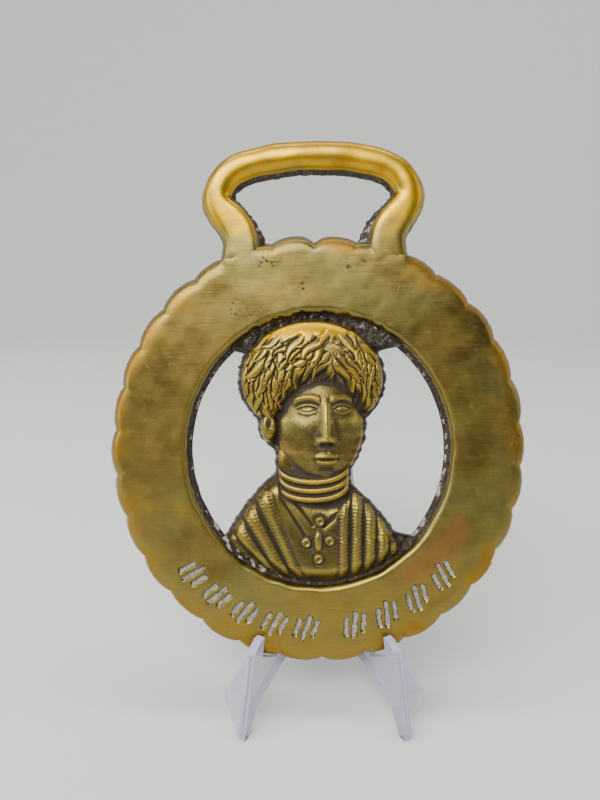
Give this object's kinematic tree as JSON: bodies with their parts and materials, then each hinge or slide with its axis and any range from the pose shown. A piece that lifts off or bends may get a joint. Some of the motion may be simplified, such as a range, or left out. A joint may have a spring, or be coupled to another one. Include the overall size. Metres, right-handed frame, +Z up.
{
  "type": "horse brass on a display easel",
  "caption": "Cast horse brass with a scalloped ring, strap hanger and portrait bust, standing in a small clear easel.",
  "frame": {"origin": "on the ground, under the middle of the whole object's bounding box", "axes": "+Z up, front towards -Y, +X to the right as seen from the front"},
  "size_m": [0.073, 0.0374, 0.099],
  "materials": {
    "brass": "worn polish with dark patina in the recesses",
    "clear_plastic": "clear moulded plastic"
  },
  "bodies": {
    "root": {"horse_brass": "brass", "display_easel": "clear_plastic"}
  },
  "joints": []
}
